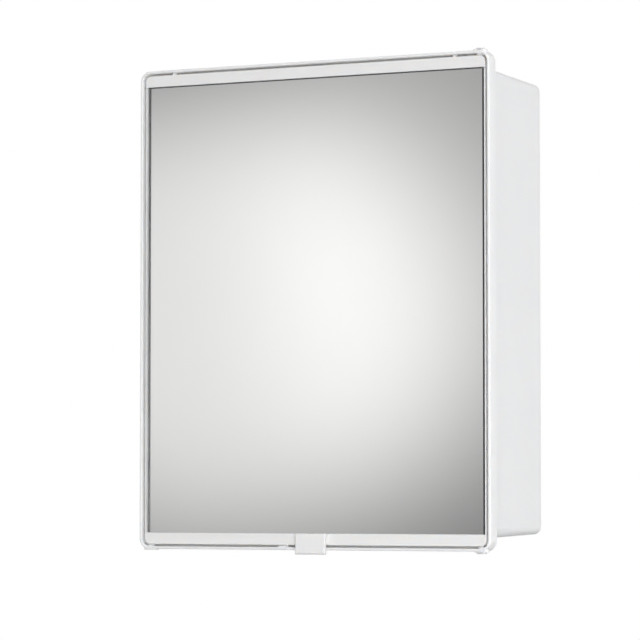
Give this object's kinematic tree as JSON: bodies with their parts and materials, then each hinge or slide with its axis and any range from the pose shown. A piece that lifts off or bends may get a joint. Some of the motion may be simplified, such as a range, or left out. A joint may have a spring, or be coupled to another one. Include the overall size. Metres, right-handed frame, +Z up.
{
  "type": "bathroom mirror cabinet",
  "caption": "Wall-hung moulded plastic bathroom cabinet with a stepped rim, shelves inside and a mirror door that swings on corner pins, closed by a magnetic catch.",
  "frame": {"origin": "centre of the cabinet's flat back, on the plane of the wall", "axes": "+X to the viewer's right, +Y into the wall, +Z up; the door faces -Y"},
  "size_m": [0.318, 0.1448, 0.4054],
  "materials": {
    "white_moulding": "satin white moulded polystyrene",
    "door_moulding": "smooth white moulded polystyrene",
    "pin_plastic": "smooth white nylon",
    "catch_plastic": "matt white",
    "clear_glass": "clear float glass, ground edges",
    "silvering": "silver coat with protective film behind",
    "foam_tape": "foam mounting tape",
    "ferrite": "matt dark ferrite",
    "steel": "zinc-plated sheet",
    "screw_steel": "zinc-plated",
    "buffer_rubber": "soft pale rubber"
  },
  "bodies": {
    "cabinet": {"carcass": "white_moulding", "shelf_upper": "white_moulding", "shelf_lower": "white_moulding", "hinge_pin_upper": "pin_plastic", "hinge_pin_lower": "pin_plastic", "catch_housing": "catch_plastic", "catch_magnet": "ferrite", "catch_pole_plates": "steel", "catch_screws": "screw_steel", "door_buffers": "buffer_rubber"},
    "door": {"top_rail": "door_moulding", "bottom_rail": "door_moulding", "side_strip_right": "door_moulding", "side_strip_left": "door_moulding", "mirror_glass": "clear_glass", "mirror_backing": "silvering", "mirror_tape": "foam_tape", "door_panel": "door_moulding", "door_handle": "door_moulding", "handle_screws": "screw_steel", "strike_plate": "steel", "strike_screws": "screw_steel"}
  },
  "joints": [
    {"name": "door_hinge", "type": "hinge", "parent": "cabinet", "child": "door", "pos_m": [0.1497, -0.1354, 0], "axis": [0, 0, 1], "range_deg": [0, 104]}
  ]
}
